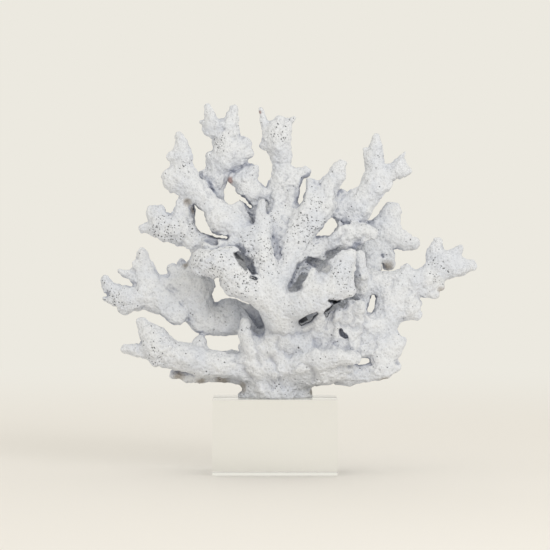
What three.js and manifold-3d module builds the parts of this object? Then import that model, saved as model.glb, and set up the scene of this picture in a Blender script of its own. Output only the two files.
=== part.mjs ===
// A branching coral, a low bushy colony of blunt forked limbs, cut off flat at its foot and fixed on
// a clear acrylic block.
//
// Millimetres, +Z up. The origin is the middle of the block's underside, +X runs along the block's
// long side and -Y is the front. The coral's own group stands on the block's top, so its heights are
// measured from the cut foot.
//
// The colony is split at its main forks. Each branch is one closed body, joined from its limbs, and
// each limb is a lathe-turned finger bent along its own curve. A branch is cut back where it meets
// the ones named before it, which leaves a hairline seam between the two.

import * as THREE from 'three';
import { mergeVertices } from 'three/addons/utils/BufferGeometryUtils.js';
import Module from 'manifold-3d';

const wasm = await Module();
wasm.setup();

// ---- driving dimensions ----

const BLOCK_WIDTH = 80;
const BLOCK_DEPTH = 50;
const BLOCK_HEIGHT = 48.5;
const BLOCK_EDGE = 0.5; // the polished edges are broken by this much

const SEAM = 0.3; // gap left between two branches that meet
const THICK_LIMB = 7.4; // a limb whose radius reaches this has one more flat round it
const THICK_SIDES = 6;
const THIN_SIDES = 5;
const ROOT_DEPTH = 0.8; // a limb's root is a blunt point, this part of its radius deep

const CORAL = { color: 0xe6e6e4, roughness: 0.85, metalness: 0 };
const ACRYLIC = { color: 0xf4f6f5, roughness: 0.05, metalness: 0, transparent: true, opacity: 0.3 };

// ---- the colony: each branch's limbs, as stations of [x, y, height, radius] ----

const BRANCHES = {
  foot: [
    [[0, 0, -4, 19], [0, 0, 4, 18]],
    [[-16, -2, -2, 8.5], [-14, -3, 8, 8.5]],
    [[15.5, -2, -2, 8.5], [16, -3, 8, 10]],
    [[0, -4, 8, 16], [2, -6, 24, 18], [3, -6, 36, 14]],
    [[-10, -12, 22, 12], [-10, -12, 32, 10]],
    [[14, -12, 20, 12], [18, -12, 34, 11]],
    [[-12, -18, 32, 8], [-17, -20, 42, 5.5], [-19, -20, 50, 3.6]],
    [[0, -20, 34, 8], [-4, -23, 43, 3.5]],
    [[20, -16, 34, 9], [24, -17, 44, 5]],
  ],
  trunk: [
    [[0, 6, 34, 15], [0, 8, 52, 13], [0, 8, 70, 12], [0, 5, 88, 11], [-2, 3, 96, 8]],
  ],
  front_stem: [
    [[5, -10, 32, 13], [5, -20, 45, 12], [3, -27, 58, 12], [0, -30, 70, 10]],
  ],
  front_left_lobe: [
    [[0, -29, 62, 9], [-14, -33, 69, 9], [-27, -35, 78, 9], [-38, -35, 85, 9], [-47, -33, 88, 6.5]],
    [[-30, -35, 84, 8], [-32, -34, 91, 4.5]],
    [[-44, -34, 88, 7], [-49, -33, 84, 4.5]],
    [[-42, -33, 88, 7], [-46, -31, 93, 4]],
  ],
  front_spike: [
    [[-2, -28, 70, 9], [-6, -28, 84, 8.5], [-9, -24, 97, 8], [-9, -20, 108, 5], [-8, -17, 116, 2.8]],
    [[-10, -24, 96, 7], [-17, -22, 101, 4]],
  ],
  front_right_lobe: [
    [[6, -28, 58, 11], [18, -36, 63, 9.5], [30, -40, 70, 9.5], [40, -40, 78, 10], [44, -39, 88, 7]],
    [[22, -38, 68, 6.5], [24, -40, 76, 4.5], [24, -40, 84, 2.8]],
    [[18, -37, 60, 8], [28, -41, 61, 5.5], [33.5, -42, 60, 3]],
    [[38, -40, 72, 7.5], [46, -40, 71, 5.5]],
  ],
  centre_right_branch: [
    [[6, -22, 78, 9], [14, -17, 98, 9], [23, -13, 114, 9.5], [26, -11, 125, 8.5]],
    [[24, -10, 125, 6], [22.5, -10, 138, 2.6]],
    [[30, -10, 124, 7], [35, -9, 136, 5.6], [39.5, -9, 145, 4.3], [42.5, -9, 149.5, 2.8]],
    [[36, -9, 138, 5], [42.5, -9, 142, 3.4]],
    [[24, -6, 128, 6], [26, -4, 139, 4.2]],
  ],
  shelf_lobe: [
    [[20, -12, 88, 9], [30, -12, 96, 7.5], [42, -14, 102, 6.5], [54, -14, 105, 6.5], [62, -12, 105, 4]],
    [[52, -14, 105, 5], [55, -17, 109, 3]],
  ],
  lower_left_branch: [
    [[-12, -10, 21, 10], [-30, -14, 21, 8.5], [-45, -14, 23, 9], [-60, -14, 27.5, 9.5], [-72, -14, 30.5, 9.5]],
    [[-74, -14, 34, 9], [-81, -14, 42, 6.5], [-85, -14, 48.5, 3.6]],
    [[-78, -14, 31, 6], [-88, -13, 30.5, 5], [-94.5, -12, 32.5, 3.4]],
    [[-68, -14, 27, 7], [-76, -15, 24, 3.8]],
    [[-14, -2, 13, 6], [-35, 0, 14, 4.5], [-55, 0, 14, 4.2], [-65, 0, 13, 3]],
    [[-48, -11, 28, 6], [-48, -9, 36, 4.5], [-47.5, -8, 39, 3]],
  ],
  left_branch: [
    [[-4, 0, 46, 10], [-20, 2, 50, 10], [-35, 2, 50.5, 10.5], [-48, 0, 52.5, 10], [-50, -2, 65, 10.5], [-54, -4, 75, 9]],
    [[-28, 2, 53, 9], [-29, 2, 56, 8]],
    [[-58, -4, 76, 7.5], [-66, -4, 83, 4.2]],
    [[-60, -4, 72, 7], [-70.5, -4, 75.5, 3.4]],
    [[-55, -2, 80, 6], [-60, 0, 87, 3.2]],
    [[-50, -4, 70, 8], [-46, -4, 74, 6.5]],
  ],
  far_left_branch: [
    [[-63, -6, 54.5, 7.5], [-72, -4, 61.5, 8.5], [-82, -3, 65.5, 8.5], [-92, -4, 65, 7], [-99, -4, 65, 6]],
    [[-97, -4, 66, 5.5], [-106, -3, 71, 4.6], [-110, -3, 75.5, 3.4]],
    [[-100, -5, 64, 5], [-110, -5, 63.5, 2.4]],
    [[-92, -4, 62, 6], [-99.5, -5, 56.5, 3.4]],
    [[-82, -3, 67, 8], [-84.5, -2, 80, 6.3], [-86, -2, 91, 4]],
    [[-86, -3, 76, 5], [-94, -3, 79, 3], [-99.5, -3, 81, 2.4]],
    [[-72, -2, 64, 7], [-78, -1, 73, 6]],
  ],
  upper_left_branch: [
    [[-6, -10, 90, 10], [-22, -12, 104, 9], [-33, -12, 116, 8.5], [-45, -10, 127, 7.5], [-54, -8, 138, 7.5],
      [-59, -8, 148, 6.5], [-58.5, -8, 159, 5.6], [-60.5, -8, 167.5, 3.4]],
    [[-57, -9, 142, 6], [-67, -10, 142.5, 4.6]],
    [[-55, -9, 136, 6], [-68.5, -11, 135.8, 2.8]],
    [[-50, -9, 131, 7], [-60, -9, 131, 3.5]],
    [[-60, -9, 155, 5], [-66.5, -11, 156.5, 3.2]],
    [[-25, -14, 110, 8], [-35, -17, 112, 6], [-41, -16, 113, 3]],
    [[-22, -8, 113, 6], [-23, -8, 123, 4.4]],
  ],
  left_upper_branch: [
    [[-20, -6, 88, 8], [-38, -8, 95, 7], [-52, -8, 101, 8], [-63, -8, 107.5, 8.5], [-74, -8, 110, 6.5]],
    [[-72, -8, 111, 6.5], [-79.5, -9, 119.5, 4.5]],
    [[-74, -8, 109, 5], [-86, -8, 109.3, 2.8]],
    [[-60, -8, 110, 7], [-59.5, -9, 123, 4.8]],
    [[-57, -4, 109, 6], [-57, 1, 122, 5]],
    [[-46, -6, 99, 6], [-53, -5, 91, 3.5], [-56, -4, 84, 4.5]],
    [[-22, 4, 94, 8], [-38, 6, 98, 5], [-50, 2, 101, 4]],
  ],
  top_left_branch: [
    [[-8, 4, 98, 8], [-22, 4, 108, 7], [-37, 4, 124, 5], [-40, 2, 136, 7], [-36, 1, 147, 8],
      [-31, 0, 157, 9], [-33, 0, 167, 8], [-36, 0, 173, 7]],
    [[-40, 0, 176, 5], [-43, 0, 187, 3.4]],
    [[-40, 0, 174, 5], [-47.5, 1, 177, 2.4]],
    [[-30, 0, 172, 7], [-27.5, 0, 185.3, 3.2]],
    [[-27, -1, 160, 7], [-20, -2, 163.5, 4.4]],
    [[-24, -2, 158, 6], [-16, -3, 157, 3]],
    [[-36, 1, 150, 6], [-42.5, 0, 156, 2.8]],
    [[-38, 1, 141, 6], [-46, 1, 142.5, 4]],
  ],
  top_centre_branch: [
    [[0, 0, 94, 8], [-2, 2, 108, 6.5], [0, 3, 122, 7], [4, 1, 136, 7], [4, 1, 149, 5.8],
      [3, 0, 157, 7], [1, 0, 167, 7.5], [2, 0, 172, 6.5]],
    [[6, 3, 108, 6], [10, 2, 122, 5.5], [9, 1, 134, 5.5]],
    [[-3, 0, 171, 4], [-7, 0, 178, 2.6], [-9.5, 0, 186, 2.2]],
    [[2, -1, 174, 5], [3, -1, 179, 3.2]],
    [[6, 0, 171, 4.5], [11.3, 0, 179.5, 2.8]],
    [[-1, -1, 163, 6], [-8, -1, 162.5, 2.2]],
    [[6, 0, 136, 6], [13, -1, 142, 6], [18, -2, 146, 4.4]],
  ],
  upper_middle_branch: [
    [[-5, 0, 104, 6], [-12, 0, 119, 4.5], [-18, -1, 134, 7.5], [-20, -2, 141, 7]],
    [[-20, -2, 142, 5.5], [-26, -2, 141.5, 4.4]],
    [[-12, -1, 133, 5], [-6, -1, 132, 4.5]],
    [[-10, 6, 106, 4], [-18, 6, 117, 3.4]],
  ],
  right_back_branch: [
    [[4, 8, 72, 9], [18, 10, 82, 8], [34, 10, 93, 7.5], [50, 12, 101, 8], [66, 14, 107, 9],
      [76, 14, 105, 8], [84, 14, 100.5, 5.5], [90.5, 14, 99.5, 4]],
    [[70, 14, 112, 7], [73, 14, 120, 5.6]],
    [[76, 14, 112, 5], [77, 14, 120, 4]],
    [[68, 14, 100, 7], [72, 12, 91, 6], [74, 12, 88, 4.5]],
    [[60, 12, 98, 7], [63, 8, 88, 7], [62, 4, 80, 6]],
  ],
  upper_right_branch: [
    [[46, 4, 103, 7], [48, 0, 113, 8.5], [54, -1, 123, 9.5], [61.5, -1, 133.5, 7.8], [64.5, 0, 145, 6.3],
      [64.5, 0, 156, 5.3], [65, 0, 168, 3]],
    [[61, 0, 154, 4], [58, 0, 160, 2.2]],
    [[65, 0, 139, 6.5], [74, 0, 145, 6.3], [80.5, -1, 148, 5.8]],
    [[80, 0, 152, 3.5], [83, 0, 157.5, 1.8]],
    [[82, -1, 148.5, 4.5], [86.5, -1, 146.8, 2.2]],
    [[64, -2, 133, 6], [72, -3, 135, 3.6]],
    [[45, 0, 119, 6], [41.5, 0, 131, 4.5]],
  ],
  right_branch: [
    [[4, 8, 60, 10], [20, 6, 63, 9], [36, -2, 65, 9], [48, -6, 69, 9], [62, -6, 73, 9], [76, -6, 73, 8],
      [88, -5, 74, 8], [102, -4, 79, 8.5], [108, -3, 84, 9], [118, -2, 84.5, 6.5], [127, -2, 85.5, 3.8]],
    [[101.5, -3, 89, 5.5], [104.5, -2, 100, 4]],
    [[112, -3, 88, 6], [118, -2, 94, 3.4]],
    [[92, -5, 71, 6], [102.5, -6, 66, 3]],
    [[103, -4, 75, 4], [107, -4, 71, 2]],
    [[83, -5, 77, 6], [85, -6, 82, 3.8]],
    [[82, -6, 66, 8], [86, -8, 57, 6.5], [91.5, -9, 53, 3.6]],
  ],
  right_fan: [
    [[74, -8, 66, 6.5], [74, -9, 54, 8], [71, -10, 43, 7.5], [73, -10, 33, 8], [68, -12, 23, 7]],
    [[76, -10, 38, 6], [81.5, -11, 37, 3.2]],
    [[76, -10, 30, 5], [79, -11, 29, 3]],
  ],
  right_knobs: [
    [[22, -14, 36, 10], [34, -18, 40, 9], [46, -20, 42, 8], [57, -16, 46, 8], [67, -12, 48, 6.5]],
    [[38, -24, 44, 6], [40, -27, 56, 3.8]],
    [[47, -20, 46, 6], [47, -21, 60, 4.8]],
    [[46, -18, 34, 8], [57, -14, 35, 8], [62, -13, 37, 6]],
  ],
  small_upright: [
    [[54, -14, 72, 6], [55, -22, 80, 4.6], [55, -24, 90, 4.2]],
  ],
  lower_right_lobe: [
    [[14, -14, 22, 10], [28, -24, 22, 10], [40, -27, 24, 9], [48, -28, 26, 6], [51.5, -28, 26.5, 3.8]],
  ],
  lower_right_branch: [
    [[10, -4, 16, 10], [30, -8, 15.5, 6.3], [45, -11, 14.5, 5.5], [58, -12, 16, 6.2], [70, -12, 18, 5.6],
      [79, -11, 20, 2.4]],
  ],
  back_left_branch: [
    [[-4, 12, 60, 11], [-14, 26, 72, 9], [-21, 38, 84, 8], [-25, 48, 95, 5.5]],
    [[-20, 36, 82, 6], [-31, 44, 84, 4]],
    [[-18, 38, 86, 6], [-12, 50, 94, 4]],
  ],
  back_right_branch: [
    [[6, 12, 58, 11], [20, 26, 66, 9], [32, 36, 74, 8.5], [42, 46, 82, 6], [49, 52, 87, 4]],
    [[30, 36, 74, 6], [38, 50, 72, 4]],
    [[26, 32, 72, 7], [24, 44, 84, 4.5]],
  ],
  back_upper_branch: [
    [[0, 8, 86, 9], [3, 20, 100, 8], [2, 30, 114, 7], [-3, 38, 125, 5.6], [-5, 42, 132, 4]],
    [[2, 28, 112, 6], [9, 38, 120, 4]],
  ],
  back_lower_left_branch: [
    [[-6, 10, 20, 12], [-22, 28, 19, 8.5], [-36, 40, 21, 6.8], [-47, 50, 23, 4.5]],
    [[-28, 34, 20, 6], [-26, 48, 24, 4]],
  ],
  back_lower_right_branch: [
    [[6, 10, 20, 12], [22, 28, 20, 8.5], [35, 40, 23, 7], [44, 48, 27, 4.8]],
    [[26, 32, 21, 6.5], [20, 48, 24, 4.5]],
  ],
  back_middle_right_branch: [
    [[8, 10, 44, 10], [26, 22, 47, 8], [42, 30, 51, 7], [51, 37, 55, 4.8]],
    [[34, 26, 49, 6], [36, 40, 58, 4.2]],
  ],
  back_middle_left_branch: [
    [[-8, 8, 44, 10], [-22, 22, 48, 8], [-36, 32, 51, 6.8], [-47, 40, 55, 4.6]],
    [[-26, 26, 49, 6], [-22, 42, 56, 4.2]],
  ],
};

// ---- solids ----

function solidOf(geometry) {
  geometry.deleteAttribute('normal');
  geometry.deleteAttribute('uv');
  const merged = mergeVertices(geometry, 1e-4);
  return new wasm.Manifold(new wasm.Mesh({
    numProp: 3,
    vertProperties: new Float32Array(merged.attributes.position.array),
    triVerts: new Uint32Array(merged.index.array),
  }));
}

function geometryOf(solid) {
  const { vertProperties, triVerts } = solid.getMesh();
  const geometry = new THREE.BufferGeometry();
  geometry.setAttribute('position', new THREE.BufferAttribute(vertProperties, 3));
  geometry.setIndex(new THREE.BufferAttribute(triVerts, 1));
  geometry.computeVertexNormals();
  return geometry;
}

function largestBody(solid) {
  return solid.decompose().reduce((a, b) => (b.volume() > a.volume() ? b : a));
}

// ---- one limb ----

// A cross-section frame at each station: its centre, its direction, and two sides that are carried
// along without twisting.
function framesAlong(stations) {
  const curve = new THREE.CatmullRomCurve3(stations.map(([x, y, z]) => new THREE.Vector3(x, y, z)));
  const across = new THREE.Vector3(0, 1, 0);
  return stations.map((station, i) => {
    const along = curve.getTangent(i / (stations.length - 1));
    across.addScaledVector(along, -across.dot(along)).normalize();
    return {
      centre: new THREE.Vector3(...station),
      along,
      side: across.clone(),
      other: across.clone().cross(along),
    };
  });
}

// A straight finger with its axis on Y. A ring's height is its station's number, and the root's and
// the tip's points reach past the end rings by their length in millimetres. The flats, not the
// corners between them, lie on the limb's radius.
function straightFinger(radii) {
  const sides = Math.max(...radii) > THICK_LIMB ? THICK_SIDES : THIN_SIDES;
  const corner = 1 / Math.cos(Math.PI / sides);
  const last = radii.length - 1;
  const profile = [
    new THREE.Vector2(0, -ROOT_DEPTH * radii[0]),
    ...radii.map((radius, i) => new THREE.Vector2(radius * corner, i)),
    new THREE.Vector2(0, last + radii[last]),
  ];
  return new THREE.LatheGeometry(profile, sides);
}

function limbSolid(stations, grow) {
  const frames = framesAlong(stations);
  const finger = straightFinger(stations.map((station) => station[3] + grow));
  const position = finger.attributes.position;
  const point = new THREE.Vector3();
  for (let i = 0; i < position.count; i += 1) {
    const height = position.getY(i);
    const nearest = THREE.MathUtils.clamp(Math.round(height), 0, frames.length - 1);
    const { centre, along, side, other } = frames[nearest];
    point.copy(centre)
      .addScaledVector(along, height - nearest)
      .addScaledVector(side, position.getX(i))
      .addScaledVector(other, position.getZ(i));
    position.setXYZ(i, point.x, point.y, point.z);
  }
  return solidOf(finger);
}

// ---- the coral ----

function joinedLimbs(limbs, grow) {
  return limbs.map((stations) => limbSolid(stations, grow)).reduce((a, b) => a.add(b));
}

// Everything below the level at which the colony was sawn from its rock.
function belowTheCut() {
  const slab = new THREE.BoxGeometry(4 * BLOCK_WIDTH, 4 * BLOCK_DEPTH, BLOCK_HEIGHT);
  slab.translate(0, 0, -BLOCK_HEIGHT / 2);
  return solidOf(slab);
}

function buildCoral() {
  const coral = new THREE.Group();
  coral.position.set(0, 0, BLOCK_HEIGHT);
  let taken = belowTheCut();
  for (const [name, limbs] of Object.entries(BRANCHES)) {
    const branch = largestBody(joinedLimbs(limbs, 0).subtract(taken));
    const mesh = new THREE.Mesh(geometryOf(branch), new THREE.MeshStandardMaterial(CORAL));
    mesh.name = name;
    coral.add(mesh);
    taken = taken.add(joinedLimbs(limbs, SEAM));
  }
  return coral;
}

// ---- the block ----

// A chamfered outline, raised with the same chamfer at its top and bottom.
function blockGeometry() {
  const x = BLOCK_WIDTH / 2 - BLOCK_EDGE;
  const y = BLOCK_DEPTH / 2 - BLOCK_EDGE;
  const outline = new THREE.Shape([
    new THREE.Vector2(-x, -y),
    new THREE.Vector2(x, -y),
    new THREE.Vector2(x, y),
    new THREE.Vector2(-x, y),
  ]);
  const block = new THREE.ExtrudeGeometry(outline, {
    depth: BLOCK_HEIGHT - 2 * BLOCK_EDGE,
    bevelEnabled: true,
    bevelSegments: 1,
    bevelSize: BLOCK_EDGE,
    bevelThickness: BLOCK_EDGE,
  });
  block.translate(0, 0, BLOCK_EDGE);
  return geometryOf(solidOf(block));
}

function buildBlock() {
  const block = new THREE.Mesh(blockGeometry(), new THREE.MeshStandardMaterial(ACRYLIC));
  block.name = 'acrylic_block';
  return block;
}

const coralOnBlock = new THREE.Group();
coralOnBlock.add(buildBlock(), buildCoral());

export default coralOnBlock;
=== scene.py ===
"""A branching coral on a clear acrylic block.

The frame is in metres. The coral is worked out in millimetres from the branches' own limbs, with
heights measured from its cut foot, and scaled when it is put into meshes. The forks of a coral are
webbed, which no profile carried along a path gives. So each branch is a level surface of a distance
field instead: its limbs are round cones that melt into each other.
"""

import itertools
import math

import bmesh
import bpy
import numpy as np
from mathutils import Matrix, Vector


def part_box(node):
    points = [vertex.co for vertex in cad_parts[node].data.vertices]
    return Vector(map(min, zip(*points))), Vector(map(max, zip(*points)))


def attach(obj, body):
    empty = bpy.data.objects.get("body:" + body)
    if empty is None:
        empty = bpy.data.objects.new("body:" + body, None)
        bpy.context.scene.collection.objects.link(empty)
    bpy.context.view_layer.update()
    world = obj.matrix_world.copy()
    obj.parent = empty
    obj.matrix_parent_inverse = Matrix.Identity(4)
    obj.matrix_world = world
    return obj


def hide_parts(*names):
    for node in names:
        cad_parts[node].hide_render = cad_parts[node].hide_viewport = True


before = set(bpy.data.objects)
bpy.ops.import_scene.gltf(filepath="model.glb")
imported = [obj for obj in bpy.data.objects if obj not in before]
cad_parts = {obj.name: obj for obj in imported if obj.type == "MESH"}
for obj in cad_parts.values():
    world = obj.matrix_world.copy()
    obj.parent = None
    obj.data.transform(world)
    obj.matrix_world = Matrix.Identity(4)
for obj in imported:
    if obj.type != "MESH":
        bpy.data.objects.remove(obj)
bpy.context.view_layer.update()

MM = 0.001
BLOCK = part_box("acrylic_block")
CUT_HEIGHT = BLOCK[1].z / MM  # the coral's cut foot, on the block's top
GLUE = 0.06  # mm, the foot's clearance over the block

GRID = 0.53  # mm between the samples of the distance field
REACH = 7.0  # mm, how far from a limb its distance is worked out
WEB = 4.2  # mm, how near two limbs melt together
HOLLOW_WEB = 1.2  # mm, how far the rims of the hollows are rounded
SLIM = 0.15  # mm taken off every limb, since webs and lumps put as much back
SINK = 1.0  # how steeply a branch dives under its neighbour past their seam
CROWD_REACH = 5.0  # mm out from the skin, where a neighbour counts as crowding it
COLONY_LOW = np.array([-130.0, -75.0, -20.0])  # mm, a box round the whole colony
COLONY_HIGH = np.array([145.0, 75.0, 210.0])
SPARE = 4  # lattice points or cells past that box, so that none is missing at its sides


# ---- the colony: each branch's limbs, as stations of (x, y, height, radius) in mm ----

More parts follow.
